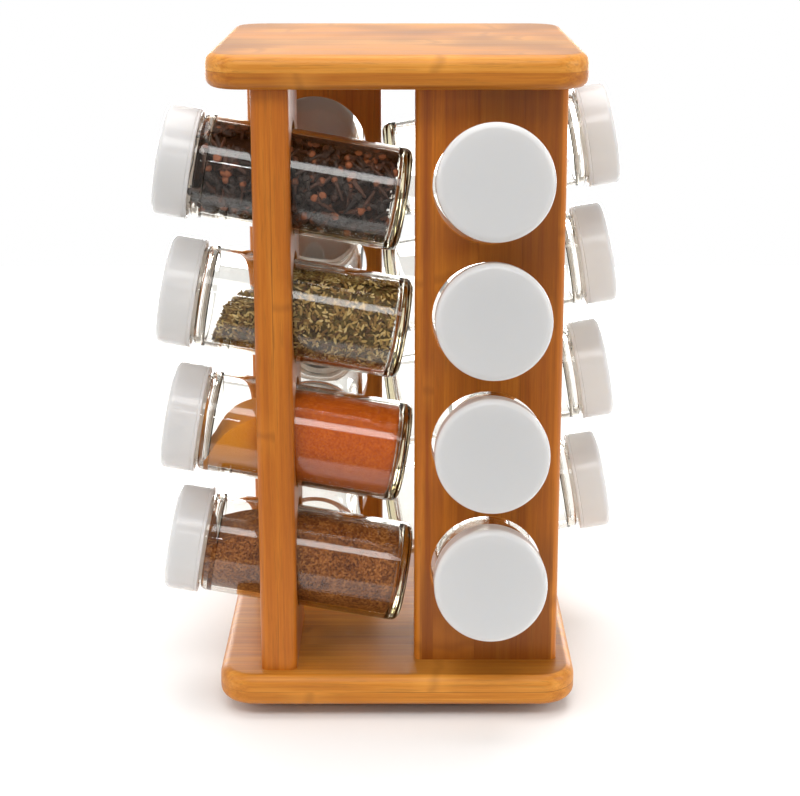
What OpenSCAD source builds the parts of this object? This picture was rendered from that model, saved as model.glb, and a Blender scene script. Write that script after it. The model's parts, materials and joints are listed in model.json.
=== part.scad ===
// Revolving spice carousel: two square bamboo plates hold four bored panels in a
// pinwheel, sixteen screw-capped glass jars lean in the bores with their caps
// outwards, and a ball-bearing turntable under the base lets the whole rack spin.
// Millimetres, +Z up, origin on the floor under the turning axis, front towards -Y.

/* [Plates] */
// Side of the square base and top plates
plate_w = 178; // [170:1:190]
// Thickness of each plate
plate_t = 16; // [14:1:20]
// Radius of a plate's corners, seen from above
plate_corner_r = 18; // [10:1:30]
// Rounding of a plate's upper and lower edges
plate_edge_r = 5; // [2:0.5:6]

/* [Panels] */
// Height of a panel between the plates
panel_h = 290; // [284:1:310]
// Width of a panel
panel_w = 72; // [70:1:74]
// Thickness of a panel
panel_t = 18; // [16:1:20]
// Rounding of a panel's upright edges
panel_edge_r = 4; // [1:0.5:6]
// Distance from the turning axis to a panel's outer face
panel_out = 68; // [66:1:70]
// Distance from the centre line to a panel's near upright edge
panel_near = 8.5; // [7:0.5:10]
// Jars in one panel
rows = 4; // [1:1:4]
// Height of the lowest bore's centre above the base plate
bore_first = 49; // [44:0.5:50]
// Height from one bore to the next
bore_pitch = 64.5; // [62:0.5:66]

/* [Jars] */
// Outer diameter of a glass jar
jar_d = 50.5; // [46:0.5:51]
// Length of the glass from its heel to its rim
jar_l = 117.5; // [110:0.5:125]
// Thickness of the glass wall
glass_t = 2.3; // [1.5:0.1:3]
// Thickness of the glass bottom
bottom_t = 4.5; // [3:0.5:7]
// Rounding of the heel
heel_r = 4.5; // [3:0.5:6]
// How far a jar's inner end hangs below level, in degrees
tilt = 10; // [6:0.5:11]
// Free play of the tilted jar in its bore, above and below
bore_play = 0.45; // [0.3:0.05:0.8]
// Gap left between a jar's heel and the panel edge that stops it
stop_gap = 0.5; // [0.3:0.1:1.5]

/* [Caps] */
// Outer diameter of a cap
cap_d = 54; // [53:0.5:56]
// Height of a cap
cap_h = 17; // [14:0.5:20]
// Thickness of the cap's wall and crown
cap_wall = 1.6; // [1.2:0.1:1.8]
// Rounding of the cap's outer rim
cap_rim_r = 3; // [1:0.5:4]
// Thickness of the foam liner
liner_t = 1; // [0.5:0.1:1.5]

/* [Turntable] */
// Diameter of the two pressed steel plates
swivel_d = 112; // [106:1:114]
// Thickness of each pressed plate
swivel_t = 1.4; // [1.2:0.1:1.6]
// Height of the rubber feet
foot_h = 1.6; // [1.5:0.1:2.5]
// Free height between the two pressed plates
race_gap = 2.6; // [2.4:0.1:2.8]
// Diameter of a bearing ball
ball_d = 3.2; // [3.1:0.1:3.4]
// Radius of the circle that the balls run on
ball_circle = 44; // [40:1:48]
// Number of balls
balls = 20; // [12:1:30]

/* [Fasteners] */
// Distance of a screw or dowel from the middle of its panel
fixing_x = 24; // [20:0.5:26]
// Length of a panel screw
screw_l = 40; // [36:1:42]
// Shank diameter of a panel screw
screw_d = 4; // [3.5:0.1:4.5]
// Diameter of a wooden dowel
dowel_d = 8; // [6:1:8]
// Length of a wooden dowel
dowel_l = 28; // [24:1:29]

/* [Hidden] */
SIDES = ["front", "right", "back", "left"];
SPICES = ["cloves", "dried_herb", "orange_spice", "brown_spice"];

$fn = 64;
eps = 0.5;                                   // overshoot of a cutter
hull_fn = 32;                                // segments of a round corner
half_turn_steps = 5;                         // segments of a small quarter round

// Heights of the stack, from the floor up
swivel_z = foot_h + swivel_t + race_gap;     // underside of the turning plate
base_z = swivel_z + swivel_t;                // underside of the base plate
panel_z = base_z + plate_t;                  // foot of the panels
top_z = panel_z + panel_h;                   // underside of the top plate
ball_z = foot_h + swivel_t + race_gap / 2;   // height of the ball centres

// Places in a panel
panel_x = panel_near + panel_w / 2;          // middle of a panel's width
panel_mid = panel_out - panel_t / 2;         // middle of a panel's thickness
fixing_places = [panel_x - fixing_x, panel_x + fixing_x];
bore_r = ((jar_d + panel_t * sin(tilt)) / cos(tilt)) / 2 + bore_play;
screw_up = screw_l - plate_t;                // screw's reach into the panel
screw_r = screw_d / 2;
screw_head_r = screw_d;                      // widest radius of the countersunk head
screw_rim = 0.4;                             // straight rim of that head
dowel_down = dowel_l * 0.6;                  // dowel's reach into the panel
fixing_play = 0.05;                          // clearance round a screw or dowel

// Jar, along its own axis from the heel up to the rim
jar_r = jar_d / 2;
jar_inner_r = jar_r - glass_t;
neck_step = 2.1;                             // how far the shoulder draws in
neck_t = 1.9;                                // thickness of the neck
neck_r = jar_r - neck_step;                  // outside of the threaded neck
neck_inner_r = neck_r - neck_t;
thread_r = neck_r + 1.5;                     // crest of the thread
thread_h = 1.6;
neck_l = 15.5;                               // straight neck inside the cap
shoulder_h = 3;                              // curved shoulder just below the cap
shoulder_z = jar_l - neck_l - shoulder_h;
inner_shoulder_z = shoulder_z - 2.5;         // where the inside starts to draw in
inner_neck_z = inner_shoulder_z + 3.5;
thread_places = [jar_l - 10, jar_l - 5];
lip_r = 0.8;                                 // chamfer of the rim

// A jar's heel reaches in by this much past the centre of its end
heel_reach = heel_r * (1 - cos(tilt)) + (jar_r - heel_r) * sin(tilt);
jar_past = panel_near - stop_gap - heel_reach;
jar_back = (panel_mid + jar_past) / cos(tilt);   // heel to the panel's middle

// Cap, along the jar's axis
seal_gap = 0.3;                              // liner to glass rim
liner_z = jar_l + seal_gap;
crown_z = liner_z + liner_t + fixing_play;   // underside of the crown
cap_top = crown_z + cap_wall;
cap_skirt = cap_top - cap_h;

// Turntable
swivel_r = swivel_d / 2;
ball_play = 0.15;
groove_r = ball_d / 2 + ball_play;
cage_t = 0.6;
cage_w = 6;
pivot_r = 5;
pivot_head_r = 8.5;
pivot_head_h = 1.2;
pivot_recess_r = pivot_head_r + 1.5;
pivot_recess_h = 2.6;
pivot_foot_h = 0.9;
running_play = 0.05;                         // radial clearance of the pivot
swivel_screw_circle = 30;
swivel_screw_r = 1.75;
swivel_screw_head_r = 3.3;
swivel_screw_head_h = 1.2;
swivel_screw_up = 9;
access_r = 5;                                // hole that a screwdriver goes through
foot_r = 7;
foot_circle = 46;

// Points of a quarter round about [cx, cy], from one angle to another
function arc(cx, cy, r, from, to, n = half_turn_steps) =
    [for (i = [0:n]) let (a = from + (to - from) * i / n) [cx + r * cos(a), cy + r * sin(a)]];

// Turns the front side's drawing to a side: 0 front, 1 right, 2 back, 3 left
module on_side(i) { rotate([0, 0, 90 * i]) children(); }

// Puts a jar's own axis into bore k of the front panel, 1 being the top row
module in_bore(k) {
    translate([panel_x, -panel_mid, panel_z + bore_first + (rows - k) * bore_pitch])
        rotate([90 - tilt, 0, 0]) translate([0, 0, -jar_back]) children();
}

// Repeats a screw or dowel at its two places in each panel
module fixings() {
    for (i = [0:3], x = fixing_places) on_side(i) translate([x, -panel_mid, 0]) children();
}

// Square plate with rounded corners and rounded upper and lower edges
module plate() {
    place = plate_w / 2 - plate_corner_r;
    rim = plate_corner_r - plate_edge_r;
    hull() for (x = [-place, place], y = [-place, place]) translate([x, y, 0])
        rotate_extrude($fn = hull_fn) polygon(concat([[0, 0]],
            arc(rim, plate_edge_r, plate_edge_r, -90, 0),
            arc(rim, plate_t - plate_edge_r, plate_edge_r, 0, 90), [[0, plate_t]]));
}

// Countersunk wood screw, head down at z = 0
module wood_screw() {
    rotate_extrude() polygon([[0, 0], [screw_head_r, 0], [screw_head_r, screw_rim],
        [screw_r, screw_head_r - screw_r + screw_rim], [screw_r, screw_l - 3 * screw_r], [0, screw_l]]);
}

// Clearance hole for that screw through the base plate, its cone a little wider than the head's
module screw_hole() {
    mouth_r = screw_head_r + screw_rim + fixing_play + eps;
    hole_r = screw_r + fixing_play;
    translate([0, 0, -eps]) cylinder(r = hole_r, h = plate_t + 2 * eps);
    translate([0, 0, -eps]) cylinder(r1 = mouth_r, r2 = hole_r, h = mouth_r - hole_r);
}

module base_plate() {
    color("#c98a4b") translate([0, 0, base_z]) difference() {
        plate();
        fixings() screw_hole();
        translate([0, 0, -eps]) cylinder(r = pivot_recess_r, h = pivot_recess_h + eps);
        for (a = [45:90:315]) rotate([0, 0, a]) translate([swivel_screw_circle, 0, -eps])
            cylinder(r = swivel_screw_r + fixing_play, h = swivel_screw_up + 2 * eps);
    }
}

module top_plate() {
    color("#c98a4b") difference() {
        translate([0, 0, top_z]) plate();
        fixings() translate([0, 0, top_z - eps])
            cylinder(r = dowel_d / 2 + fixing_play, h = dowel_l - dowel_down + eps + fixing_play);
    }
}

// Upright panel with one round bore for each jar of its column
module panel() {
    near = [panel_near + panel_edge_r, panel_near + panel_w - panel_edge_r];
    deep = [panel_edge_r - panel_out, panel_t - panel_edge_r - panel_out];
    difference() {
        translate([0, 0, panel_z]) linear_extrude(panel_h)
            hull() for (x = near, y = deep) translate([x, y]) circle(panel_edge_r, $fn = hull_fn);
        for (k = [1:rows]) translate([panel_x, eps - panel_out + panel_t,
            panel_z + bore_first + (rows - k) * bore_pitch])
            rotate([90, 0, 0]) cylinder(r = bore_r, h = panel_t + 2 * eps, $fn = 2 * $fn);
        for (x = fixing_places) translate([x, -panel_mid, 0]) {
            translate([0, 0, panel_z - eps])
                cylinder(r = screw_r + fixing_play, h = screw_up + eps + fixing_play);
            translate([0, 0, top_z - dowel_down - fixing_play])
                cylinder(r = dowel_d / 2 + fixing_play, h = dowel_down + eps + fixing_play);
        }
    }
}

module panel_screws() {
    color("silver") fixings() translate([0, 0, base_z]) wood_screw();
}

module top_dowels() {
    color("#e0b982") fixings() translate([0, 0, top_z - dowel_down]) cylinder(d = dowel_d, h = dowel_l);
}

// Straight-sided jar: thick bottom, rounded heel, short shoulder and a neck with
// two rings that stand for its screw thread
module glass_jar() {
    heel = arc(jar_r - heel_r, heel_r, heel_r, -90, 0);
    shoulder = [for (p = arc(0, 0, 1, 0, 90))
        [neck_r + neck_step * p.x, shoulder_z + shoulder_h * p.y]];
    threads = [for (z = thread_places)
        each [[neck_r, z - thread_h / 2], [thread_r, z], [neck_r, z + thread_h / 2]]];
    rim = [[neck_r, jar_l - lip_r], [neck_r - lip_r, jar_l],
        [neck_inner_r + lip_r, jar_l], [neck_inner_r, jar_l - lip_r]];
    inside = [[neck_inner_r, inner_neck_z], [jar_inner_r, inner_shoulder_z]];
    floor_r = heel_r - 1;
    inner_heel = arc(jar_inner_r - floor_r, bottom_t + floor_r, floor_r, 0, -90);
    rotate_extrude() polygon(concat([[0, 0]], heel, shoulder, threads, rim, inside,
        inner_heel, [[0, bottom_t]]));
}

// Smooth moulded cap and, as a second solid, the foam disc that seals the rim
module screw_cap() {
    r = cap_d / 2;
    ease = 0.4;                              // chamfer of the skirt's outer edge
    rotate_extrude() polygon(concat(
        [[r - cap_wall, cap_skirt], [r - ease, cap_skirt], [r, cap_skirt + ease]],
        arc(r - cap_rim_r, cap_top - cap_rim_r, cap_rim_r, 0, 90),
        [[0, cap_top], [0, crown_z], [r - cap_wall, crown_z]]));
    translate([0, 0, liner_z]) cylinder(r = r - cap_wall - fixing_play, h = liner_t);
}

// Loose filling of a jar up to fill_l along its axis, cut off by a plane that
// starts at the crest height above the jar's bottom and falls by slope degrees
module filling(fill_l, crest, slope) {
    gap = 0.2;
    r = jar_inner_r - gap;
    low = bottom_t + gap;
    floor_r = heel_r - 1;
    heel = arc(r - floor_r, low + floor_r, floor_r, -90, 0);
    neck = [[r, inner_shoulder_z - gap], [neck_inner_r - gap, inner_neck_z - gap],
        [neck_inner_r - gap, fill_l], [0, fill_l]];
    difference() {
        rotate_extrude() polygon(concat([[0, low]], heel, neck));
        translate([-jar_d, crest, low]) rotate([slope, 0, 0]) translate([0, 0, -jar_l])
            cube([2 * jar_d, 2 * jar_d, 3 * jar_l]);
    }
}

module foot_plate() {
    color("#8f9296") translate([0, 0, foot_h]) difference() {
        cylinder(r = swivel_r, h = swivel_t);
        translate([0, 0, -eps]) cylinder(r = pivot_r + fixing_play, h = swivel_t + 2 * eps);
        translate([swivel_screw_circle, 0, -eps]) cylinder(r = access_r, h = swivel_t + 2 * eps);
        translate([0, 0, ball_z - foot_h])
            rotate_extrude() translate([ball_circle, 0]) circle(groove_r);
    }
}

module swivel_plate() {
    color("#9fa2a6") translate([0, 0, swivel_z]) difference() {
        cylinder(r = swivel_r, h = swivel_t);
        translate([0, 0, -eps]) cylinder(r = pivot_r + running_play, h = swivel_t + 2 * eps);
        for (a = [45:90:315]) rotate([0, 0, a]) translate([swivel_screw_circle, 0, -eps])
            cylinder(r = swivel_screw_r + fixing_play, h = swivel_t + 2 * eps);
        translate([0, 0, ball_z - swivel_z])
            rotate_extrude() translate([ball_circle, 0]) circle(groove_r);
    }
}

module rubber_feet() {
    color("#2b2b2b") for (a = [45:90:315]) rotate([0, 0, a]) translate([foot_circle, 0, 0])
        cylinder(r = foot_r, h = foot_h);
}

module bearing_balls() {
    color("#c8ccd0") for (i = [0:balls - 1]) rotate([0, 0, 360 * i / balls])
        translate([ball_circle, 0, ball_z]) sphere(d = ball_d);
}

module ball_cage() {
    color("#e8e6df") translate([0, 0, ball_z - cage_t / 2]) difference() {
        cylinder(r = ball_circle + cage_w / 2, h = cage_t);
        translate([0, 0, -eps]) cylinder(r = ball_circle - cage_w / 2, h = cage_t + 2 * eps);
        for (i = [0:balls - 1]) rotate([0, 0, 360 * i / balls]) translate([ball_circle, 0, -eps])
            cylinder(r = groove_r, h = cage_t + 2 * eps);
    }
}

module swivel_screws() {
    color("silver") for (a = [45:90:315])
        rotate([0, 0, a]) translate([swivel_screw_circle, 0, swivel_z]) {
            cylinder(r = swivel_screw_r, h = swivel_screw_up);
            translate([0, 0, -swivel_screw_head_h])
                cylinder(r = swivel_screw_head_r, h = swivel_screw_head_h);
        }
}

// Rivet that holds the two plates together: a low foot under the fixed plate,
// a shaft for the turning plate to run on and a head in the base plate's recess
module centre_pivot() {
    head_z = base_z + ball_play;
    color("#b9bcc0") {
        translate([0, 0, foot_h - pivot_foot_h]) cylinder(r = pivot_head_r, h = pivot_foot_h);
        translate([0, 0, foot_h - eps / 2]) cylinder(r = pivot_r, h = head_z - foot_h + eps);
        translate([0, 0, head_z]) cylinder(r = pivot_head_r, h = pivot_head_h);
    }
}

base_plate();
top_plate();
panel_screws();
top_dowels();
foot_plate();
rubber_feet();
bearing_balls();
ball_cage();
swivel_plate();
swivel_screws();
centre_pivot();
for (i = [0:3]) color("#c07f45") on_side(i) panel();
for (i = [0:3], k = [1:rows]) color([0.85, 0.9, 0.88, 0.4]) on_side(i) in_bore(k) glass_jar();
for (i = [0:3], k = [1:rows]) color("#f2f1ec") on_side(i) in_bore(k) screw_cap();
color("#3a2217") on_side(3) in_bore(1) filling(101, 21, 1);  // cloves
color("#6d6a3c") on_side(3) in_bore(2) filling(101, 36, 27);  // dried_herb
color("#b5561c") on_side(3) in_bore(3) filling(101, 57, 32);  // orange_spice
color("#6b3d22") on_side(3) in_bore(4) filling(101, 42, 21);  // brown_spice
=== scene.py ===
"""A revolving spice carousel: bamboo plates and bored panels, sixteen leaning glass jars."""
import json
import math

import bmesh
import bpy
import numpy as np
from mathutils import Matrix, Vector


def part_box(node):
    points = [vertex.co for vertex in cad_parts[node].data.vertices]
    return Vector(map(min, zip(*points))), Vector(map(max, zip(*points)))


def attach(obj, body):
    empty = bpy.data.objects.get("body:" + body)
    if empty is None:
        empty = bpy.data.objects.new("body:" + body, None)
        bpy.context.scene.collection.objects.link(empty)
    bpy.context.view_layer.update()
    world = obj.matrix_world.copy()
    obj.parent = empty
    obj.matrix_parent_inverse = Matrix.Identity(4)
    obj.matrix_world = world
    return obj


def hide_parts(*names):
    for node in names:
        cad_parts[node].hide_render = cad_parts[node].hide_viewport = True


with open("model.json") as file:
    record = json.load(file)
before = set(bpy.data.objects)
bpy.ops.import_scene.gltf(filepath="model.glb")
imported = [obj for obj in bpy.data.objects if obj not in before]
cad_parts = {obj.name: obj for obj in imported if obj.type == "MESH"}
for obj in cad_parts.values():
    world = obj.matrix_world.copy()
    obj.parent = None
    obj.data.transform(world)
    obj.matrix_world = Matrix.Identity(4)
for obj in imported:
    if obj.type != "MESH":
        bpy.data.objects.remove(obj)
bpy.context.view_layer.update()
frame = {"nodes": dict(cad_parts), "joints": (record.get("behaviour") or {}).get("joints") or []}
scene = bpy.context.scene

# ---------------------------------------------------------------------------
# Camera: a long lens a little above the rack, looking down at it, with
# the frame dropped slightly so that the uprights draw together less.
camera_data = bpy.data.cameras.new("camera")
camera_data.sensor_width = 36.0
camera_data.lens = 80.1
camera_data.shift_y = -0.09
camera = bpy.data.objects.new("camera", camera_data)
camera.location = (0.0014, -0.899, 0.411)
camera.rotation_euler = (math.radians(90 - 14.42), 0, 0)
scene.collection.objects.link(camera)
scene.camera = camera
scene.view_settings.view_transform = "Standard"


# ---------------------------------------------------------------------------
# Studio: a matt white table and soft boxes. The floor's shader is the first
# one made, so the small class that writes shader sums is here.
class Wire:
    """A socket in a material's node tree. Sums of wires and numbers add Math nodes."""

    def __init__(self, tree, socket=None):
        self.tree, self.socket = tree, socket

    def add(self, kind, settings=None, sockets=None, output=0):
        """Adds a node, sets its settings and then its sockets, and returns one of its outputs."""
        node = self.tree.nodes.new(kind)
        for name, value in (settings or {}).items():
            if name == "stops":
                while len(node.color_ramp.elements) < len(value):
                    node.color_ramp.elements.new(0.5)
                for element, (place, colour) in zip(node.color_ramp.elements, value):
                    element.position, element.color = place, (*colour, 1)
            else:
                setattr(node, name, value)
        for name, value in (sockets or {}).items():
            if isinstance(value, Wire):
                self.tree.links.new(value.socket, node.inputs[name])
            else:
                node.inputs[name].default_value = value
        return Wire(self.tree, node.outputs[output])

    def maths(self, operation, *others):
        """A Math node with this value first."""
        return self.add("ShaderNodeMath", {"operation": operation}, dict(enumerate((self, *others))))

    def __add__(self, other):
        return self.maths("ADD", other)

    __radd__ = __add__

    def __sub__(self, other):
        return self.maths("SUBTRACT", other)

    def __rsub__(self, other):
        return self.maths("MULTIPLY_ADD", -1.0, other)

    def __mul__(self, other):
        return self.maths("MULTIPLY", other)

    __rmul__ = __mul__

    def ramp(self, *stops):
        """A colour from this value, by a ramp of (place, colour) stops."""
        return self.add("ShaderNodeValToRGB", {"stops": stops}, {"Fac": self})

    def band(self, low, high, to_low=0.0, to_high=1.0):
        """This value eased from low..high to to_low..to_high."""
        return self.add("ShaderNodeMapRange", {"interpolation_type": "SMOOTHSTEP"},
                        {"Value": self, "From Min": low, "From Max": high,
                         "To Min": to_low, "To Max": to_high})

    def blend(self, other, factor):
        """This colour mixed with another, three numbers, by factor."""
        return self.add("ShaderNodeMix", {"data_type": "RGBA"},
                        {0: factor, 6: self, 7: (*other, 1)}, output=2)

    def noise(self, scale, detail=3.0, roughness=0.5, distortion=0.0):
        """Fractal noise over this vector."""
        return self.add("ShaderNodeTexNoise", {}, {"Vector": self, "Scale": scale, "Detail": detail,
                                                   "Roughness": roughness, "Distortion": distortion})

    def stretched(self, x, y, z):
        """This vector scaled along each axis."""
        return self.add("ShaderNodeVectorMath", {"operation": "MULTIPLY"}, {0: self, 1: (x, y, z)})

    def bump(self, strength, distance):
        """A normal bent by this height."""
        return self.add("ShaderNodeBump", {}, {"Height": self, "Strength": strength, "Distance": distance})


def new_material(name):
    """An empty material, a wire to start from and its output node."""
    material = bpy.data.materials.new(name)
    material.use_nodes = True
    tree = material.node_tree
    tree.nodes.clear()
    output = tree.nodes.new("ShaderNodeOutputMaterial")
    return material, Wire(tree), output


def surface(start, output, **sockets):
    """Ends a material in one Principled shader; the keywords are its sockets, with _ for a space."""
    names = {key.replace("_", " "): value for key, value in sockets.items()}
    shader = start.add("ShaderNodeBsdfPrincipled", {}, names)
    start.tree.links.new(shader.socket, output.inputs["Surface"])
    return shader


def grid_mesh(name, *grids, weld=1e-6, sharp=35.0):
    """One mesh from grids of points (rows, columns, 3). A grid's last column meets its first when
    closed is true. Neighbouring grids that share points are welded, and faces turned outwards."""
    points, faces, offset = [], [], 0
    for grid, closed in grids:
        rows, columns = grid.shape[:2]
        index = np.arange(rows * columns).reshape(rows, columns) + offset
        if closed:
            index = np.concatenate([index, index[:, :1]], axis=1)
        quads = np.stack([index[:-1, :-1], index[:-1, 1:], index[1:, 1:], index[1:, :-1]], -1)
        points.append(grid.reshape(-1, 3))
        faces.append(quads.reshape(-1, 4))
        offset += rows * columns
    mesh = bpy.data.meshes.new(name)
    mesh.from_pydata(np.concatenate(points).tolist(), [], np.concatenate(faces).tolist())
    tidy = bmesh.new()
    tidy.from_mesh(mesh)
    bmesh.ops.remove_doubles(tidy, verts=tidy.verts, dist=weld)
    bmesh.ops.dissolve_degenerate(tidy, edges=tidy.edges, dist=weld)
    bmesh.ops.holes_fill(tidy, edges=[e for e in tidy.edges if e.is_boundary], sides=0)
    bmesh.ops.recalc_face_normals(tidy, faces=tidy.faces)
    tidy.to_mesh(mesh)
    tidy.free()
    mesh.shade_smooth()
    mesh.set_sharp_from_angle(angle=math.radians(sharp))
    return mesh


def new_piece(name, mesh, material, body, replaced=()):
    """A finished piece: its mesh, its finish and the body that it rides on."""
    piece = bpy.data.objects.new(name, mesh)
    scene.collection.objects.link(piece)
    mesh.materials.clear()
    mesh.materials.append(material)
    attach(piece, body)
    if replaced:
        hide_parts(*replaced)
    return piece


def quarter(n, start=0.0, end=90.0):
    """Cosines and sines of n + 1 angles from start to end, in degrees."""
    angle = np.radians(np.linspace(start, end, n + 1))
    return np.cos(angle), np.sin(angle)


floor_material, start, output = new_material("studio_floor")
surface(start, output, Base_Color=(0.95, 0.95, 0.945, 1), Roughness=0.9)
floor_mesh = bpy.data.meshes.new("studio_floor")
floor_side, floor_front, floor_back = 1.3, -0.26, 0.95
floor_mesh.from_pydata([(-floor_side, floor_front, 0), (floor_side, floor_front, 0),
                        (floor_side, floor_back, 0), (-floor_side, floor_back, 0)], [], [(0, 1, 2, 3)])
floor_mesh.materials.append(floor_material)
studio_floor = bpy.data.objects.new("studio_floor", floor_mesh)
scene.collection.objects.link(studio_floor)


def soft_box(name, place, aim, width, height, power):
    """A rectangular lamp at place, turned towards aim."""
    lamp = bpy.data.lights.new(name, "AREA")
    lamp.shape, lamp.size, lamp.size_y = "RECTANGLE", width, height
    lamp.energy = power
    lamp_object = bpy.data.objects.new(name, lamp)
    lamp_object.location = place
    direction = Vector(aim) - Vector(place)
    lamp_object.rotation_euler = direction.to_track_quat("-Z", "Y").to_euler()
    scene.collection.objects.link(lamp_object)


middle = (0, 0, 0.16)
soft_box("front_box", (-0.15, -1.05, 1.35), middle, 1.3, 0.42, 9)
soft_box("front_lamp", (-0.06, -1.5, 0.86), middle, 0.10, 0.035, 0.45)
soft_box("side_lamp", (-0.36, -1.5, 0.86), middle, 0.12, 0.035, 0.5)
soft_box("left_box", (-1.5, -0.5, 0.9), middle, 0.7, 0.9, 5)
soft_box("right_box", (1.5, -0.5, 0.8), middle, 0.7, 0.9, 8)
soft_box("top_box", (0, 0.3, 1.8), middle, 1.4, 1.4, 19)
soft_box("back_box", (0, 1.3, 0.2), middle, 1.8, 0.36, 13)

# The tent round the table is white to the camera, through glass and in satin surfaces, and fills
# the shadows. Only light that a mirror-sharp face has turned sees it dark, so that the lamps draw
# bands on the glass; light turned inside the glass sees it half dark.
world = bpy.data.worlds.new("studio")
world.use_nodes = True
world.node_tree.nodes.clear()
start = Wire(world.node_tree)
sky_out = world.node_tree.nodes.new("ShaderNodeOutputWorld")
matt_ray = start.add("ShaderNodeLightPath", output="Is Diffuse Ray")
mirrored = start.add("ShaderNodeLightPath", output="Glossy Depth").maths("MINIMUM", 1.0)
inside = start.add("ShaderNodeLightPath", output="Transmission Depth").maths("MINIMUM", 1.0)
sharp_ray = start.add("ShaderNodeLightPath", output="Is Singular Ray") * mirrored * (1.0 - inside * 0.4)
white = start.add("ShaderNodeBackground", {}, {"Color": (1, 1, 1, 1), "Strength": 1.0})
fill = start.add("ShaderNodeBackground", {}, {"Color": (1, 0.985, 0.96, 1), "Strength": 0.5})
dim = start.add("ShaderNodeBackground", {}, {"Color": (1, 0.97, 0.92, 1), "Strength": 0.12})
tent = start.add("ShaderNodeMixShader", {}, {0: matt_ray, 1: white, 2: fill})
tent = start.add("ShaderNodeMixShader", {}, {0: sharp_ray, 1: tent, 2: dim})
world.node_tree.links.new(tent.socket, sky_out.inputs["Surface"])
scene.world = world

# ---------------------------------------------------------------------------
# Base and top plates: boards glued up from flat bamboo strips that run from
# side to side, with rounded corners, rounded edges and a satin lacquer.
def bamboo(name, grain, across, depth, tones, layer, layer_at, seed, lean=0.0):
    """Laminated bamboo. grain, across and depth are the indices of the object axis that the fibres
    run along and of the two across them. Every strip of every layer has its own tone and knuckles;
    fibres are noise stretched along the grain; glue lines darken the joints. lean makes the layers
    above layer_at paler and those below it darker: partly the laminations' own tones, partly painted
    light from above and painted shade below."""
    strip, knuckle_gap = 0.021, 0.19
    material, start, output = new_material(name)
    place = start.add("ShaderNodeTexCoord", output=3)
    split = [place.add("ShaderNodeSeparateXYZ", {}, {0: place}, output=i) for i in range(3)]
    over = split[across] * (1 / strip) + seed
    deep = (split[depth] - layer_at) * (1 / layer)
    label = over.maths("FLOOR") * 7.13 + deep.maths("FLOOR") * 3.71
    chance = label.add("ShaderNodeTexWhiteNoise", {"noise_dimensions": "1D"}, {"W": label})
    scales = [150.0, 150.0, 150.0]
    scales[grain] = 3.0
    fibre = place.stretched(*scales).noise(2.2, 4.0, 0.62, 0.15)
    scales = [330.0, 330.0, 330.0]
    scales[grain] = 16.0
    hair = place.stretched(*scales).noise(2.5, 3.0, 0.7)
    cloud = place.noise(9.0, 2.0)
    # a knuckle is a soft dark line across one strip, with a pale smear beside it
    wobble = place.noise(60.0, 2.0) * 0.014
    phase = ((split[grain] + chance * 2.7 + wobble) * (1 / knuckle_gap)).maths("FRACT")
    from_knuckle = (phase - 0.5).maths("ABSOLUTE")
    line = from_knuckle.band(0.0, 0.022, 1.0, 0.0)
    smear = from_knuckle.band(0.01, 0.09, 1.0, 0.0)
    seam = (over.maths("FRACT") - 0.5).maths("ABSOLUTE").band(0.475, 0.498)
    glue = (deep.maths("FRACT") - 0.5).maths("ABSOLUTE").band(0.46, 0.495) * cloud.band(0.4, 0.6)
    streak = hair.band(0.5, 0.68)
    tone = fibre * 0.95 + hair * 0.4 + chance * 0.3 + cloud * 0.3 - 0.48
    # lean: layers above layer_at paler, those below darker; partly the laminations' own tones, partly painted
    # light from above and painted shade below
    tone = tone + deep.band(-0.06, 0.06, -lean, lean)
    dark, mid, light = tones
    colour = tone.ramp((0.15, dark), (0.5, mid), (0.85, light))
    colour = colour.blend([c * 0.5 for c in mid], streak * 0.42)
    colour = colour.blend([c * 0.5 for c in mid], seam * 0.3)
    colour = colour.blend([c * 0.4 for c in dark], glue * 0.6)
    colour = colour.blend([c * 1.15 for c in light], smear * 0.2)
    colour = colour.blend([c * 0.5 for c in dark], line * 0.28)
    height = fibre * 0.5 + hair * 0.35 - seam * 0.3 - glue * 0.3 - line * 0.2
    surface(start, output, Base_Color=colour, Roughness=fibre.band(0.2, 0.8, 0.36, 0.5), IOR=1.42,
            Normal=height.bump(0.22, 0.0006), Specular_IOR_Level=0.3, Coat_Weight=0.16,
            Coat_Roughness=0.3)
    return material


def board_mesh(name, low, high, corner, edge):
    """A rounded square board between two heights. Rings of the rounded square are carried up the
    edge profile: a ring inset by d has its corners' radius less d."""
    steps, turns = 8, 10
    half = (high.x - low.x) / 2
    cosines, sines = quarter(turns)
    corner_x = np.concatenate([cosines, -sines, -cosines, sines])
    corner_y = np.concatenate([sines, cosines, -sines, -cosines])
    sign_x = np.repeat([1, -1, -1, 1], turns + 1)
    sign_y = np.repeat([1, 1, -1, -1], turns + 1)
    c, s = quarter(steps)
    inset = np.concatenate([[corner, corner * 0.6], edge * (1 - s), edge * (1 - c), [corner * 0.6, corner]])
    height = np.concatenate([[low.z, low.z], low.z + edge * (1 - c),
                             high.z - edge * (1 - s), [high.z, high.z]])
    radius = (corner - inset)[:, None]
    x = sign_x * (half - corner) + radius * corner_x
    y = sign_y * (half - corner) + radius * corner_y
    z = np.broadcast_to(height[:, None], x.shape)
    return grid_mesh(name, (np.stack([x, y, z], -1), True))


corner_radius, edge_radius = 0.018, 0.005
plate_tones = ((0.36, 0.100, 0.006), (0.58, 0.205, 0.018), (0.80, 0.36, 0.060))
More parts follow.
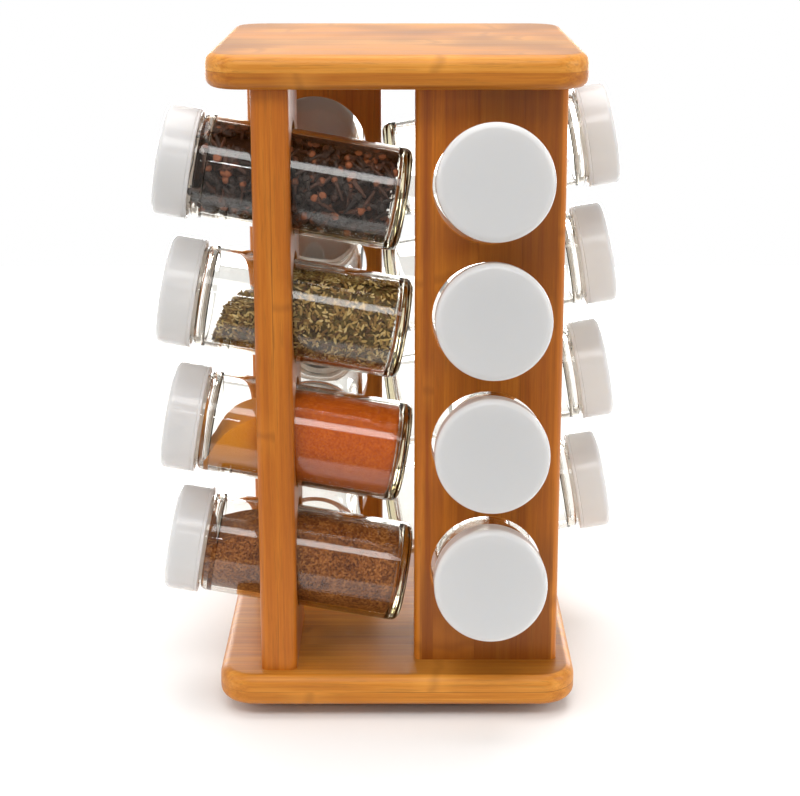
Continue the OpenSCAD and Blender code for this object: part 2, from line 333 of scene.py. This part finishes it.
# The top plate gets the larger lean: its upper half is painted paler and its lower half darker, partly
# painted light from above and painted shade below.
for plate, seed, lean in (("base_plate", 0.37, 0.03), ("top_plate", 0.61, 0.14)):
    low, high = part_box(plate)
    plate_bamboo = bamboo(plate + "_bamboo", 0, 1, 2, plate_tones, 0.008, (low.z + high.z) / 2,
                          seed, lean)
    mesh = board_mesh(plate + "_board", low, high, corner_radius, edge_radius)
    board = new_piece(plate + "_board", mesh, plate_bamboo, "carousel", [plate])
    board.modifiers.new("even_normals", "WEIGHTED_NORMAL").keep_sharp = True

# ---------------------------------------------------------------------------
# Panels: thick boards of upright bamboo strips, bored through four times, square
# to the board, for the leaning jars. Bore rims and upright edges are rounded.
SIDES = ("front", "right", "back", "left")
ROWS = (1, 2, 3, 4)
low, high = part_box("panel_front")
panel_width, panel_depth, panel_height = high.x - low.x, high.y - low.y, high.z - low.z
panel_x, panel_y, panel_foot = (low.x + high.x) / 2, (low.y + high.y) / 2, low.z
bore_first, bore_pitch, bore_radius, rim_radius = 0.049, 0.0645, 0.02768, 0.0008
upright_radius = 0.004


def bored_cell(centre_z, half_x, half_z, side_points):
    """Front face, bore and back face round one bore, as a closed grid: the rows go from the cell's
    outline in to the rim, through the wall and out again at the back; the columns follow the
    outline, each at its own angle, so that the corners are kept."""
    step = np.linspace(-1, 1, side_points + 1)[:-1]
    one = np.ones_like(step)
    outline_x = half_x * np.concatenate([step, one, -step, -one])
    outline_z = half_z * np.concatenate([-one, step, one, -step])
    angle = np.arctan2(outline_z, outline_x)
    c, s = quarter(4)
    share = np.array([0, 0.35, 0.7, 1])[:, None]
    rim = bore_radius + rim_radius
    rings_x = (1 - share) * outline_x + share * rim * np.cos(angle)
    rings_z = (1 - share) * outline_z + share * rim * np.sin(angle)
    lip = (rim - rim_radius * s[1:])[:, None]
    lip_depth = rim_radius * (1 - c[1:])
    x = np.concatenate([rings_x, lip * np.cos(angle), (lip * np.cos(angle))[::-1], rings_x[::-1]])
    z = np.concatenate([rings_z, lip * np.sin(angle), (lip * np.sin(angle))[::-1], rings_z[::-1]])
    depth = np.concatenate([np.zeros(4), lip_depth, panel_depth - lip_depth[::-1], np.full(4, panel_depth)])
    y = np.broadcast_to(depth[:, None], x.shape)
    return np.stack([x, y - panel_depth / 2, z + centre_z], -1)


def panel_mesh(name, turn):
    """The bored cells, the plain strips above and below them, and the rounded upright edges."""
    side_points = 16
    half_x, half_z = panel_width / 2 - upright_radius, bore_pitch / 2
    centres = [bore_first + i * bore_pitch for i in range(4)]
    grids = [(bored_cell(z, half_x, half_z, side_points), True) for z in centres]
    across = np.linspace(-half_x, half_x, side_points + 1)
    cell_z = np.linspace(-half_z, half_z, side_points + 1)
    foot_z, head_z = centres[0] - half_z, centres[-1] + half_z
    for z0, z1 in ((0, foot_z), (head_z, panel_height)):
        for y in (-panel_depth / 2, panel_depth / 2):
            x, z = np.meshgrid(across, np.linspace(z0, z1, 4))
            grids.append((np.stack([x, np.full_like(x, y), z], -1), False))
    plain_z = [np.linspace(0, foot_z, 4), np.linspace(head_z, panel_height, 4)]
    heights = np.unique(np.round(np.concatenate(plain_z + [z + cell_z for z in centres]), 9))
    c, s = quarter(8)
    edge_x = half_x + upright_radius * np.concatenate([s, s[::-1]])
    edge_y = np.concatenate([-panel_depth / 2 + upright_radius * (1 - c),
                             panel_depth / 2 - upright_radius * (1 - c[::-1])])
    for sign in (-1, 1):
        x = np.broadcast_to(sign * edge_x, (len(heights), len(edge_x)))
        y = np.broadcast_to(edge_y, x.shape)
        z = np.broadcast_to(heights[:, None], x.shape)
        grids.append((np.stack([x, y, z], -1), False))
    mesh = grid_mesh(name, *grids, weld=2e-6)
    mesh.transform(turn @ Matrix.Translation((panel_x, panel_y, panel_foot)))
    return mesh


panel_layer = 0.009
panel_tones = ((0.32, 0.072, 0.005), (0.52, 0.150, 0.010), (0.66, 0.235, 0.024))
panel_bamboo = {"front": bamboo("front_panel_bamboo", 2, 0, 1, panel_tones, panel_layer, panel_y, 0.15),
                "right": bamboo("right_panel_bamboo", 2, 1, 0, panel_tones, panel_layer, panel_y, 0.45)}
panel_bamboo["back"] = panel_bamboo["front"]
panel_bamboo["left"] = panel_bamboo["right"]
side_turn = {side: Matrix.Rotation(math.radians(90 * i), 4, "Z") for i, side in enumerate(SIDES)}
for side in SIDES:
    mesh = panel_mesh(f"panel_{side}_board", side_turn[side])
    board = new_piece(f"panel_{side}_board", mesh, panel_bamboo[side], "carousel",
                      [f"panel_{side}"])
    board.modifiers.new("even_normals", "WEIGHTED_NORMAL").keep_sharp = True

# ---------------------------------------------------------------------------
# Jars: pressed clear glass with a thick bottom, a round heel, straight sides, a
# short shoulder just below the cap and a neck with about one and a half turns of
# screw thread.
jar_radius, jar_length, wall, bottom = 0.02525, 0.1175, 0.0023, 0.0045
heel_radius, neck_radius, neck_length = 0.0045, 0.02315, 0.0155
neck_wall, shoulder_height, inner_heel = 0.0019, 0.003, 0.0036
shoulder_z = jar_length - neck_length - shoulder_height
inner_shoulder_z, inner_neck_z = shoulder_z - 0.0025, shoulder_z + 0.001
tilt = math.asin(next(j for j in frame["joints"] if j["name"] == "jar_front_1_slide")["axis"][2])


def jar_place(side, row):
    """Matrix from a jar's own axis, heel at the origin and rim up, to its place in the bore. The
    heel's centre follows from the jar's box, whose low inner corner is the rounded heel."""
    low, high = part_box(f"jar_front_{row}")
    flat = jar_radius - heel_radius
    heel_y = high.y - heel_radius * (1 - math.cos(tilt)) - flat * math.sin(tilt)
    heel_z = low.z + heel_radius * (1 - math.sin(tilt)) + flat * math.cos(tilt)
    lean = Matrix.Rotation(math.pi / 2 - tilt, 4, "X")
    return side_turn[side] @ Matrix.Translation((panel_x, heel_y, heel_z)) @ lean


def turned(name, radius, height, around=96, ripple=None):
    """A profile turned about the Z axis: each point of it becomes a ring. ripple adds to the radius
    of each point of the grid."""
    angle = np.linspace(0, 2 * np.pi, around, endpoint=False)
    radius = np.asarray(radius)[:, None] + (0 if ripple is None else ripple(angle))
    x, y = radius * np.cos(angle), radius * np.sin(angle)
    z = np.broadcast_to(np.asarray(height)[:, None], x.shape)
    return grid_mesh(name, (np.stack([x, y, z], -1), True))


def jar_profile():
    """Radii and heights from the middle of the bottom, up the outside, over the rim and down the
    inside to the middle of the thick bottom, which has a slight dome."""
    c, s = quarter(8)
    neck_z = jar_length - neck_length
    inner, inner_neck = jar_radius - wall, neck_radius - neck_wall
    radius = [0.004, 0.014, 0.0178]
    height = [0.0009, 0.0009, 0.0002]
    radius += list(jar_radius - heel_radius + heel_radius * s)
    height += list(heel_radius * (1 - c))
    radius += [jar_radius] * 7 + list(neck_radius + (jar_radius - neck_radius) * c)
    height += list(np.linspace(0.012, shoulder_z - 0.004, 7)) + list(shoulder_z + shoulder_height * s)
    radius += [neck_radius] * 40
    height += list(np.linspace(neck_z + 0.0008, jar_length - 0.0012, 40))
    middle_r, half_wall = neck_radius - neck_wall / 2, neck_wall / 2
    c, s = quarter(8, 0, 180)
    radius += list(middle_r + half_wall * c)
    height += list(jar_length - half_wall + half_wall * s)
    c, s = quarter(8)
    draw_in = inner - inner_neck
    radius += [inner_neck] + list(inner - draw_in * c)
    height += [neck_z + 0.002] + list(inner_neck_z - (inner_neck_z - inner_shoulder_z) * s)
    radius += [inner] * 5 + list(inner - inner_heel * (1 - c)) + [0.012, 0.003]
    height += list(np.linspace(inner_shoulder_z - 0.006, 0.014, 5)) + list(bottom + inner_heel * (1 - s))
    height += [bottom + 0.0004, bottom + 0.0006]
    return np.array(radius), np.array(height)


def glass():
    """Clear glass that bends what is seen through it, lets the lamps' light in and turns olive
    where it is thick."""
    material, start, output = new_material("jar_glass")
    place = start.add("ShaderNodeTexCoord", output=3)
    normal = place.noise(38.0, 1.0).bump(0.05, 0.0008)
    clear = start.add("ShaderNodeBsdfPrincipled", {}, {
        "Base Color": (0.99, 0.99, 0.985, 1), "Roughness": 0.0, "IOR": 1.47,
        "Transmission Weight": 1.0, "Normal": normal})
    lamp_ray = start.add("ShaderNodeLightPath", output="Is Shadow Ray")
    passing = start.add("ShaderNodeBsdfTransparent", {}, {"Color": (0.95, 0.945, 0.92, 1)})
    both = start.add("ShaderNodeMixShader", {}, {0: lamp_ray, 1: clear, 2: passing})
    start.tree.links.new(both.socket, output.inputs["Surface"])
    depth = start.add("ShaderNodeVolumeAbsorption", {}, {"Color": (0.62, 0.54, 0.25, 1), "Density": 28.0})
    start.tree.links.new(depth.socket, output.inputs["Volume"])
    return material


thread_pitch, thread_turns, thread_half, thread_fade = 0.0045, 1.6, 0.0011, 0.08


def thread_ripple(radius, height, base, low, high, crest):
    """Height of a screw thread over a neck: a smooth ridge along a helix, faded at its two ends."""
    def ripple(angle):
        z = np.asarray(height)[:, None]
        total = np.zeros((len(height), len(angle)))
        for turn in range(int(math.ceil(thread_turns)) + 1):
            travelled = angle / (2 * np.pi) + turn
            centre = low + thread_pitch * travelled
            ends = (np.clip(travelled / thread_fade, 0, 1)
                    * np.clip((thread_turns - travelled) / thread_fade, 0, 1))
            ridge = np.clip(1 - ((z - centre) / thread_half) ** 2, 0, 1)
            total = np.maximum(total, crest * ridge * ends)
        on_neck = (np.abs(np.asarray(radius) - base) < 1e-6)[:, None] & (z > low - 0.002) & (z < high)
        return total * on_neck
    return ripple


jar_glass = glass()
radius, height = jar_profile()
neck_low = jar_length - neck_length
thread = thread_ripple(radius, height, neck_radius, neck_low + 0.0035, jar_length - 0.001, 0.0013)
jar_shape = turned("jar_shape", radius, height, ripple=thread)
for side in SIDES:
    for row in ROWS:
        name = f"jar_{side}_{row}"
        mesh = jar_shape.copy()
        mesh.name = name + "_glass"
        mesh.transform(jar_place(side, row))
        new_piece(name + "_glass", mesh, jar_glass, name, [name])

# ---------------------------------------------------------------------------
# Caps: smooth moulded white plastic with a soft rim, a thin parting line near
# the open end and a foam disc that seals on the glass. A real cap also has a
# thread inside, which is left out.
cap_radius, cap_height, cap_wall, cap_rim = 0.027, 0.017, 0.0016, 0.003
liner_depth, seal_gap, fit_gap = 0.001, 0.0003, 0.00005
crown = jar_length + seal_gap + liner_depth + fit_gap
cap_top = crown + cap_wall
skirt = cap_top - cap_height


def cap_profile():
    """Radii and heights from the middle of the crown, over the rim, down the outside and up the
    inside of the skirt to the middle of the crown's underside."""
    s, c = quarter(10)
    inner = cap_radius - cap_wall
    radius = [0.004, 0.014, 0.020]
    height = [cap_top - 0.00015, cap_top - 0.0001, cap_top - 0.00003]
    radius += list(cap_radius - cap_rim + cap_rim * c)
    height += list(cap_top - cap_rim + cap_rim * s)
    radius += [cap_radius, cap_radius, cap_radius - 0.00025, cap_radius - 0.00025, cap_radius]
    height += [cap_top - 0.007, skirt + 0.0021, skirt + 0.0019, skirt + 0.0016, skirt + 0.0014]
    radius += [cap_radius, cap_radius - 0.0003, inner + 0.0003, inner]
    height += [skirt + 0.0004, skirt, skirt, skirt + 0.0003]
    radius += [inner] * 30 + [inner, inner - 0.0004, 0.014, 0.004]
    height += list(np.linspace(skirt + 0.0008, crown - 0.0016, 30)) + [crown - 0.0004, crown, crown, crown]
    return np.array(radius), np.array(height)


def white_plastic():
    """Smooth moulded plastic with the faintest unevenness."""
    material, start, output = new_material("cap_plastic")
    place = start.add("ShaderNodeTexCoord", output=3)
    fine = place.noise(900.0, 2.0)
    surface(start, output, Base_Color=(0.78, 0.74, 0.715, 1), Roughness=fine.band(0.3, 0.7, 0.17, 0.2),
            Normal=fine.bump(0.03, 0.0002), IOR=1.46, Subsurface_Weight=1.0, Subsurface_Scale=1.0,
            Subsurface_Radius=(0.006, 0.0055, 0.005))
    return material


def foam():
    """Closed-cell foam: soft, matt, finely pitted."""
    material, start, output = new_material("liner_foam")
    place = start.add("ShaderNodeTexCoord", output=3)
    pits = place.add("ShaderNodeTexVoronoi", {}, {"Vector": place, "Scale": 1600.0})
    colour = pits.ramp((0.0, (0.80, 0.80, 0.78)), (0.5, (0.90, 0.90, 0.88)))
    surface(start, output, Base_Color=colour, Roughness=0.8, Normal=pits.bump(0.3, 0.0003),
            Subsurface_Weight=1.0, Subsurface_Scale=1.0,
            Subsurface_Radius=(0.005, 0.005, 0.0045))
    return material


cap_plastic, liner_foam = white_plastic(), foam()
radius, height = cap_profile()
inner = cap_radius - cap_wall
cap_shape = turned("cap_shape", radius, height)
liner_z = jar_length + seal_gap
disc = inner - fit_gap
liner_shape = turned("liner_shape", [0.004, disc - 0.0003, disc, disc, disc - 0.0003, 0.004],
                     [liner_z, liner_z, liner_z + 0.0002, liner_z + liner_depth - 0.0002,
                      liner_z + liner_depth, liner_z + liner_depth], around=64)
for side in SIDES:
    for row in ROWS:
        body = f"cap_{side}_{row}"
        for name, shape, finish, stands_for in (("_shell", cap_shape, cap_plastic, [body]),
                                                ("_liner", liner_shape, liner_foam, [])):
            mesh = shape.copy()
            mesh.name = body + name
            mesh.transform(jar_place(side, row))
            new_piece(body + name, mesh, finish, body, stands_for)

# ---------------------------------------------------------------------------
# Spices in the left-hand jars. Loose stuff lies against the glass below a heap
# whose height is given along the jar: (station, height over the jar's radius).
fill_gap = 0.0003
fill_radius = jar_radius - wall - fill_gap
fill_foot = bottom + 0.001


def heap_height(stations, profile):
    """Height of the heap above the jar's own axis at each station, by straight runs between the
    profile's points, rounded off by a moving average."""
    places, shares = np.array(profile, float).T
    run = np.interp(stations, places, shares)
    padded = np.pad(run, 4, mode="edge")
    return np.convolve(padded, np.ones(9) / 9, "valid") * fill_radius


def room(stations):
    """Radius left inside the glass: the wall, rounded in at the heel and drawn in at the neck."""
    rise = np.clip((inner_heel - (stations - fill_foot)) / inner_heel, 0, 1)
    radius = fill_radius - inner_heel * (1 - np.sqrt(1 - rise ** 2))
    neck = np.clip((stations - inner_shoulder_z + fill_gap) / (inner_neck_z - inner_shoulder_z), 0, 1)
    return radius - neck * (fill_radius - (neck_radius - neck_wall - fill_gap))


def heap_mesh(name, profile, shrink, rough, seed):
    """A solid of loose spice: at each station its outline follows the glass round the bottom, from
    one end of the heap's surface to the other, and comes back across the surface, which is bowed
    and ruffled by a few sine waves with seeded phases."""
    stations = np.linspace(fill_foot + shrink, profile[-1][0], 110)
    radius = room(stations)[:, None] - shrink
    top = np.clip(heap_height(stations, profile)[:, None] - shrink, -0.985 * radius, 0.975 * radius)
    contact = np.arcsin(top / radius)
    share = np.linspace(0, 1, 57)[None, :]
    angle = contact + (-np.pi - 2 * contact) * share
    arc_x, arc_y = radius * np.cos(angle), radius * np.sin(angle)
    across = np.linspace(-1, 1, 40)[1:-1][None, :]
    waves = np.random.default_rng(seed).uniform(0, 2 * np.pi, (6, 2))
    ruffle = sum(np.sin(stations[:, None] * 210 * (i + 1) + p) * np.sin(across * 3.1 * (i + 1) + q) / (i + 1)
                 for i, (p, q) in enumerate(waves))
    chord_x = across * radius * np.cos(contact)
    chord_y = top + (ruffle * rough + 0.0006) * (1 - across ** 2)
    limit = np.sqrt(np.maximum(radius ** 2 - chord_x ** 2, 0))
    chord_y = np.clip(chord_y, -limit, limit)
    x, y = np.concatenate([arc_x, chord_x], 1), np.concatenate([arc_y, chord_y], 1)
    z = np.broadcast_to(stations[:, None], x.shape)
    return grid_mesh(name, (np.stack([x, y, z], -1), True), sharp=60)


def powder(name, colours, grain, relief, pale=None):
    """Ground spice: fine grains of a few tones over broad clouds where it has packed. It turns
    towards pale, where that is given, as the heap thins out near the neck."""
    material, start, output = new_material(name)
    place = start.add("ShaderNodeTexCoord", output=3)
    cells = place.add("ShaderNodeTexVoronoi", {}, {"Vector": place, "Scale": grain}, output=1)
    fleck = cells.add("ShaderNodeSeparateColor", {}, {0: cells})
    cloud = place.noise(75.0, 3.0)
    fine = place.noise(grain * 0.8, 2.0)
    tone = fleck * 0.45 + cloud * 0.4 + fine * 0.3 - 0.08
    colour = tone.ramp((0.2, colours[0]), (0.5, colours[1]), (0.85, colours[2]))
    if pale:
        outward = place.add("ShaderNodeSeparateXYZ", {}, {0: place}, output=0) * -1.0
        colour = colour.blend(pale, (outward + cloud * 0.02).band(0.062, 0.092))
    surface(start, output, Base_Color=colour, Roughness=0.95, Specular_IOR_Level=0.2,
            Normal=(fine + fleck * 0.5).bump(relief, 0.0006))
    return material


def scattered(name, unit, places, turns, sizes, tones, profile):
    """Many copies of a small closed grid. Each is scaled, turned by its own matrix and moved, and
    then whatever would pass through the glass is pressed back to the wall. The attribute tone
    holds each copy's own number, and part tells how far along the copy a point is."""
    rows, columns = unit.shape[:2]
    flat = unit.reshape(-1, 3)
    points = np.einsum("nij,nmj->nmi", turns, flat[None] * sizes[:, None, None]) + places[:, None]
    reach = np.hypot(points[..., 0], points[..., 1])
    space = room(np.clip(points[..., 2], fill_foot, profile[-1][0])) - 0.0001
    points[..., :2] *= np.minimum(1, space / np.maximum(reach, 1e-9))[..., None]
    points[..., 2] = np.clip(points[..., 2], fill_foot, None)
    index = np.arange(rows * columns).reshape(rows, columns)
    index = np.concatenate([index, index[:, :1]], axis=1)
    quads = np.stack([index[:-1, :-1], index[:-1, 1:], index[1:, 1:], index[1:, :-1]], -1).reshape(-1, 4)
    faces = quads[None] + (np.arange(len(places)) * rows * columns)[:, None, None]
    mesh = bpy.data.meshes.new(name)
    mesh.from_pydata(points.reshape(-1, 3).tolist(), [], faces.reshape(-1, 4).tolist())
    part = np.repeat(np.linspace(0, 1, rows), columns)
    for label, values in (("tone", np.repeat(tones, rows * columns)), ("part", np.tile(part, len(places)))):
        mesh.attributes.new(label, "FLOAT", "POINT").data.foreach_set("value", values.astype(np.float32))
    tidy = bmesh.new()
    tidy.from_mesh(mesh)
    bmesh.ops.remove_doubles(tidy, verts=tidy.verts, dist=1e-7)
    bmesh.ops.recalc_face_normals(tidy, faces=tidy.faces)
    tidy.to_mesh(mesh)
    tidy.free()
    mesh.shade_smooth()
    return mesh


def loose_places(draw, count, profile, depth, end):
    """Places and turns for loose pieces: a share lies flat against the glass below the heap's
    surface and the rest lies on the surface. A turn's first axis is the piece's length."""
    wall_share = 0.62
    station = draw.uniform(fill_foot + 0.001, end, count)
    top = heap_height(np.sort(station), profile)[np.argsort(np.argsort(station))]
    radius = room(station)
    level = np.clip(top / radius, -0.97, 0.97)
    contact = np.arcsin(level)
    angle = contact + (-np.pi - 2 * contact) * draw.uniform(0, 1, count)
    distance = radius - depth * draw.uniform(0.35, 1.6, count)
    wall_place = np.stack([distance * np.cos(angle), distance * np.sin(angle), station], -1)
    across = draw.uniform(-0.93, 0.93, count) * radius * np.cos(contact)
    top_place = np.stack([across, top + draw.normal(0.0, depth * 0.45, count), station], -1)
    is_wall = (np.arange(count) < int(count * wall_share))[:, None]
    places = np.where(is_wall, wall_place, top_place)
    outward = np.where(is_wall, np.stack([np.cos(angle), np.sin(angle), 0 * angle], -1),
                       np.stack([0 * angle, 0 * angle + 1, 0 * angle], -1))
    outward = outward + draw.normal(0, 0.25, (count, 3))
    outward /= np.linalg.norm(outward, axis=1, keepdims=True)
    length = np.cross(outward, draw.normal(0, 1, (count, 3)))
    length /= np.linalg.norm(length, axis=1, keepdims=True)
    side = np.cross(outward, length)
    return places, np.stack([length, side, outward], -1)


def clove_unit():
    """A clove turned about its length: a tapering stem, a calyx that flares into four lobes, and
    the round bud."""
    around = np.arange(8) * np.pi / 4
    along = np.array([-6.6, -6.2, -2.6, 1.6, 3.4, 3.0, 4.2, 5.6, 6.3]) * 0.001
    radius = np.array([0, 0.6, 0.9, 1.2, 2.5, 1.6, 2.1, 1.5, 0]) * 0.001
    lobes = np.zeros(9)
    lobes[4] = 0.34
    radius = radius[:, None] * (1 + lobes[:, None] * np.cos(4 * around))
    x = np.broadcast_to(along[:, None], radius.shape)
    return np.stack([x, radius * np.cos(around), radius * np.sin(around)], -1)


def flake_unit():
    """A crumbled leaf: a flat lens, longer than wide, bent a little along its length."""
    around = np.arange(6) * np.pi / 3
    ring = np.array([0, 0.75, 1.0, 0.75, 0])[:, None]
    thick = np.array([-0.16, -0.1, 0, 0.1, 0.16])[:, None] * 0.001
    x = 0.0019 * ring * np.cos(around)
    y = 0.0007 * ring * np.sin(around)
    return np.stack([x, y, thick + 90.0 * x ** 2], -1)


cloves_heap = ((0.0, 0.93), (0.040, 0.92), (0.070, 0.88), (0.093, 0.85), (0.099, 0.80), (0.1015, 0.60))
herb_heap = ((0.0, 0.97), (0.020, 0.92), (0.040, 0.85), (0.059, 0.80), (0.067, 0.50), (0.078, 0.12),
             (0.086, -0.10), (0.0905, -0.42), (0.0935, -0.9))
orange_heap = ((0.0, 0.97), (0.056, 0.95), (0.067, 0.75), (0.079, 0.44), (0.086, 0.25), (0.092, 0.0),
               (0.0965, -0.4), (0.0995, -0.85))
brown_heap = ((0.0, 0.97), (0.056, 0.95), (0.068, 0.84), (0.081, 0.66), (0.088, 0.52), (0.096, 0.32),
              (0.102, 0.20))

dark, mid, light = (0.016, 0.005, 0.002), (0.075, 0.020, 0.006), (0.24, 0.066, 0.020)
clove_skin, start, output = new_material("clove_skin")
own = start.add("ShaderNodeAttribute", {"attribute_name": "tone"}, output=2)
bud = start.add("ShaderNodeAttribute", {"attribute_name": "part"}, output=2).band(0.62, 0.74)
wrinkle = start.add("ShaderNodeTexCoord", output=3).noise(700.0, 3.0)
tone = own * 0.5 + bud * own.band(0.3, 0.9) * 0.55 + wrinkle * 0.35 - 0.22
surface(start, output, Base_Color=tone.ramp((0.15, dark), (0.5, mid), (0.95, light)), Roughness=0.6,
        Normal=wrinkle.bump(0.4, 0.0005))

leaf_skin, start, output = new_material("leaf_skin")
own = start.add("ShaderNodeAttribute", {"attribute_name": "tone"}, output=2)
vein = start.add("ShaderNodeTexCoord", output=3).noise(900.0, 2.0)
colour = (own * 0.9 + vein * 0.25 - 0.1).ramp((0.05, (0.10, 0.040, 0.008)), (0.4, (0.27, 0.140, 0.028)),
                                               (0.75, (0.46, 0.30, 0.085)), (1.0, (0.74, 0.58, 0.28)))
surface(start, output, Base_Color=colour, Roughness=0.8, Normal=vein.bump(0.3, 0.0004))

# The cores under the loose cloves and herb flakes stand for the rest of the spice. They are painted much
# darker than the loose pieces: painted shade of the gaps between them.
clove_core_painted_shade = powder("clove_core_painted_shade", ((0.009, 0.003, 0.002), (0.020, 0.007, 0.003), (0.045, 0.015, 0.006)),
                    500.0, 0.8)
herb_core_painted_shade = powder("herb_core_painted_shade", ((0.03, 0.014, 0.004), (0.09, 0.055, 0.013), (0.2, 0.14, 0.045)), 700.0, 0.8)
orange_powder = powder("orange_powder", ((0.34, 0.054, 0.002), (0.45, 0.082, 0.003), (0.56, 0.13, 0.006)),
                       1500.0, 0.25, pale=(0.60, 0.21, 0.006))
brown_powder = powder("brown_powder", ((0.06, 0.016, 0.003), (0.20, 0.060, 0.011), (0.42, 0.165, 0.04)),
                      1100.0, 0.6)

for row, node, profile, finish, shrink, rough in (
        (1, "cloves", cloves_heap, clove_core_painted_shade, 0.0034, 0.0006),
        (2, "dried_herb", herb_heap, herb_core_painted_shade, 0.0016, 0.0006),
        (3, "orange_spice", orange_heap, orange_powder, 0.0, 0.00025),
        (4, "brown_spice", brown_heap, brown_powder, 0.0, 0.0004)):
    mesh = heap_mesh(node + "_heap", profile, shrink, rough, row)
    mesh.transform(jar_place("left", row))
    new_piece(node + "_heap", mesh, finish, f"jar_left_{row}", [node])

draw = np.random.default_rng(11)
for row, name, unit, skin, slot, profile, count, depth, low_size in (
        (1, "clove_buds", clove_unit(), clove_skin, "cloves", cloves_heap, 760, 0.0022, 0.9),
        (2, "herb_flakes", flake_unit(), leaf_skin, "dried_herb", herb_heap, 5200, 0.0009, 0.55)):
    places, turns = loose_places(draw, count, profile, depth, profile[-1][0] - 0.001)
    sizes, tones = draw.uniform(low_size, 1.1, count), draw.uniform(0, 1, count)
    mesh = scattered(name, unit, places, turns, sizes, tones, profile)
    mesh.transform(jar_place("left", row))
    new_piece(name, mesh, skin, f"jar_left_{row}")

# ---------------------------------------------------------------------------
# Turntable and fixings: pressed zinc-plated plates, balls in a nylon cage, a
# rivet, rubber feet, screws and dowels. All keep their CAD shapes.


def plain_finish(name, colours, roughness, metallic=0.0, scale=220.0, stretch=(1, 1, 1)):
    """A noise of two colours with matching unevenness, for small metal, rubber and wood parts."""
    material, start, output = new_material(name)
    place = start.add("ShaderNodeTexCoord", output=3)
    grain = place.stretched(*stretch).noise(scale, 3.0)
    surface(start, output, Base_Color=grain.ramp((0.3, colours[0]), (0.7, colours[1])), Metallic=metallic,
            Roughness=grain.band(0.3, 0.7, roughness - 0.06, roughness + 0.06),
            Normal=grain.bump(0.15, 0.0002))
    return material


pressed_steel = plain_finish("pressed_steel", ((0.30, 0.31, 0.32), (0.42, 0.43, 0.44)), 0.42, 1.0)
zinc_steel = plain_finish("zinc_steel", ((0.52, 0.52, 0.50), (0.66, 0.65, 0.60)), 0.35, 1.0)
ball_steel = plain_finish("ball_steel", ((0.72, 0.73, 0.75), (0.78, 0.79, 0.80)), 0.14, 1.0)
cage_nylon = plain_finish("cage_nylon", ((0.70, 0.69, 0.64), (0.78, 0.77, 0.73)), 0.5)
foot_rubber = plain_finish("foot_rubber", ((0.018, 0.018, 0.018), (0.035, 0.034, 0.033)), 0.75, 0.0, 900.0)
dowel_beech = plain_finish("dowel_beech", ((0.52, 0.33, 0.17), (0.66, 0.46, 0.27)), 0.6, 0.0, 90.0, (8, 8, 1))
for nodes, finish in ((("foot_plate", "swivel_plate"), pressed_steel), (("bearing_balls",), ball_steel),
                      (("ball_cage",), cage_nylon), (("rubber_feet",), foot_rubber),
                      (("top_dowels",), dowel_beech),
                      (("swivel_screws", "panel_screws", "centre_pivot"), zinc_steel)):
    for node in nodes:
        materials = frame["nodes"][node].data.materials
        materials.clear()
        materials.append(finish)
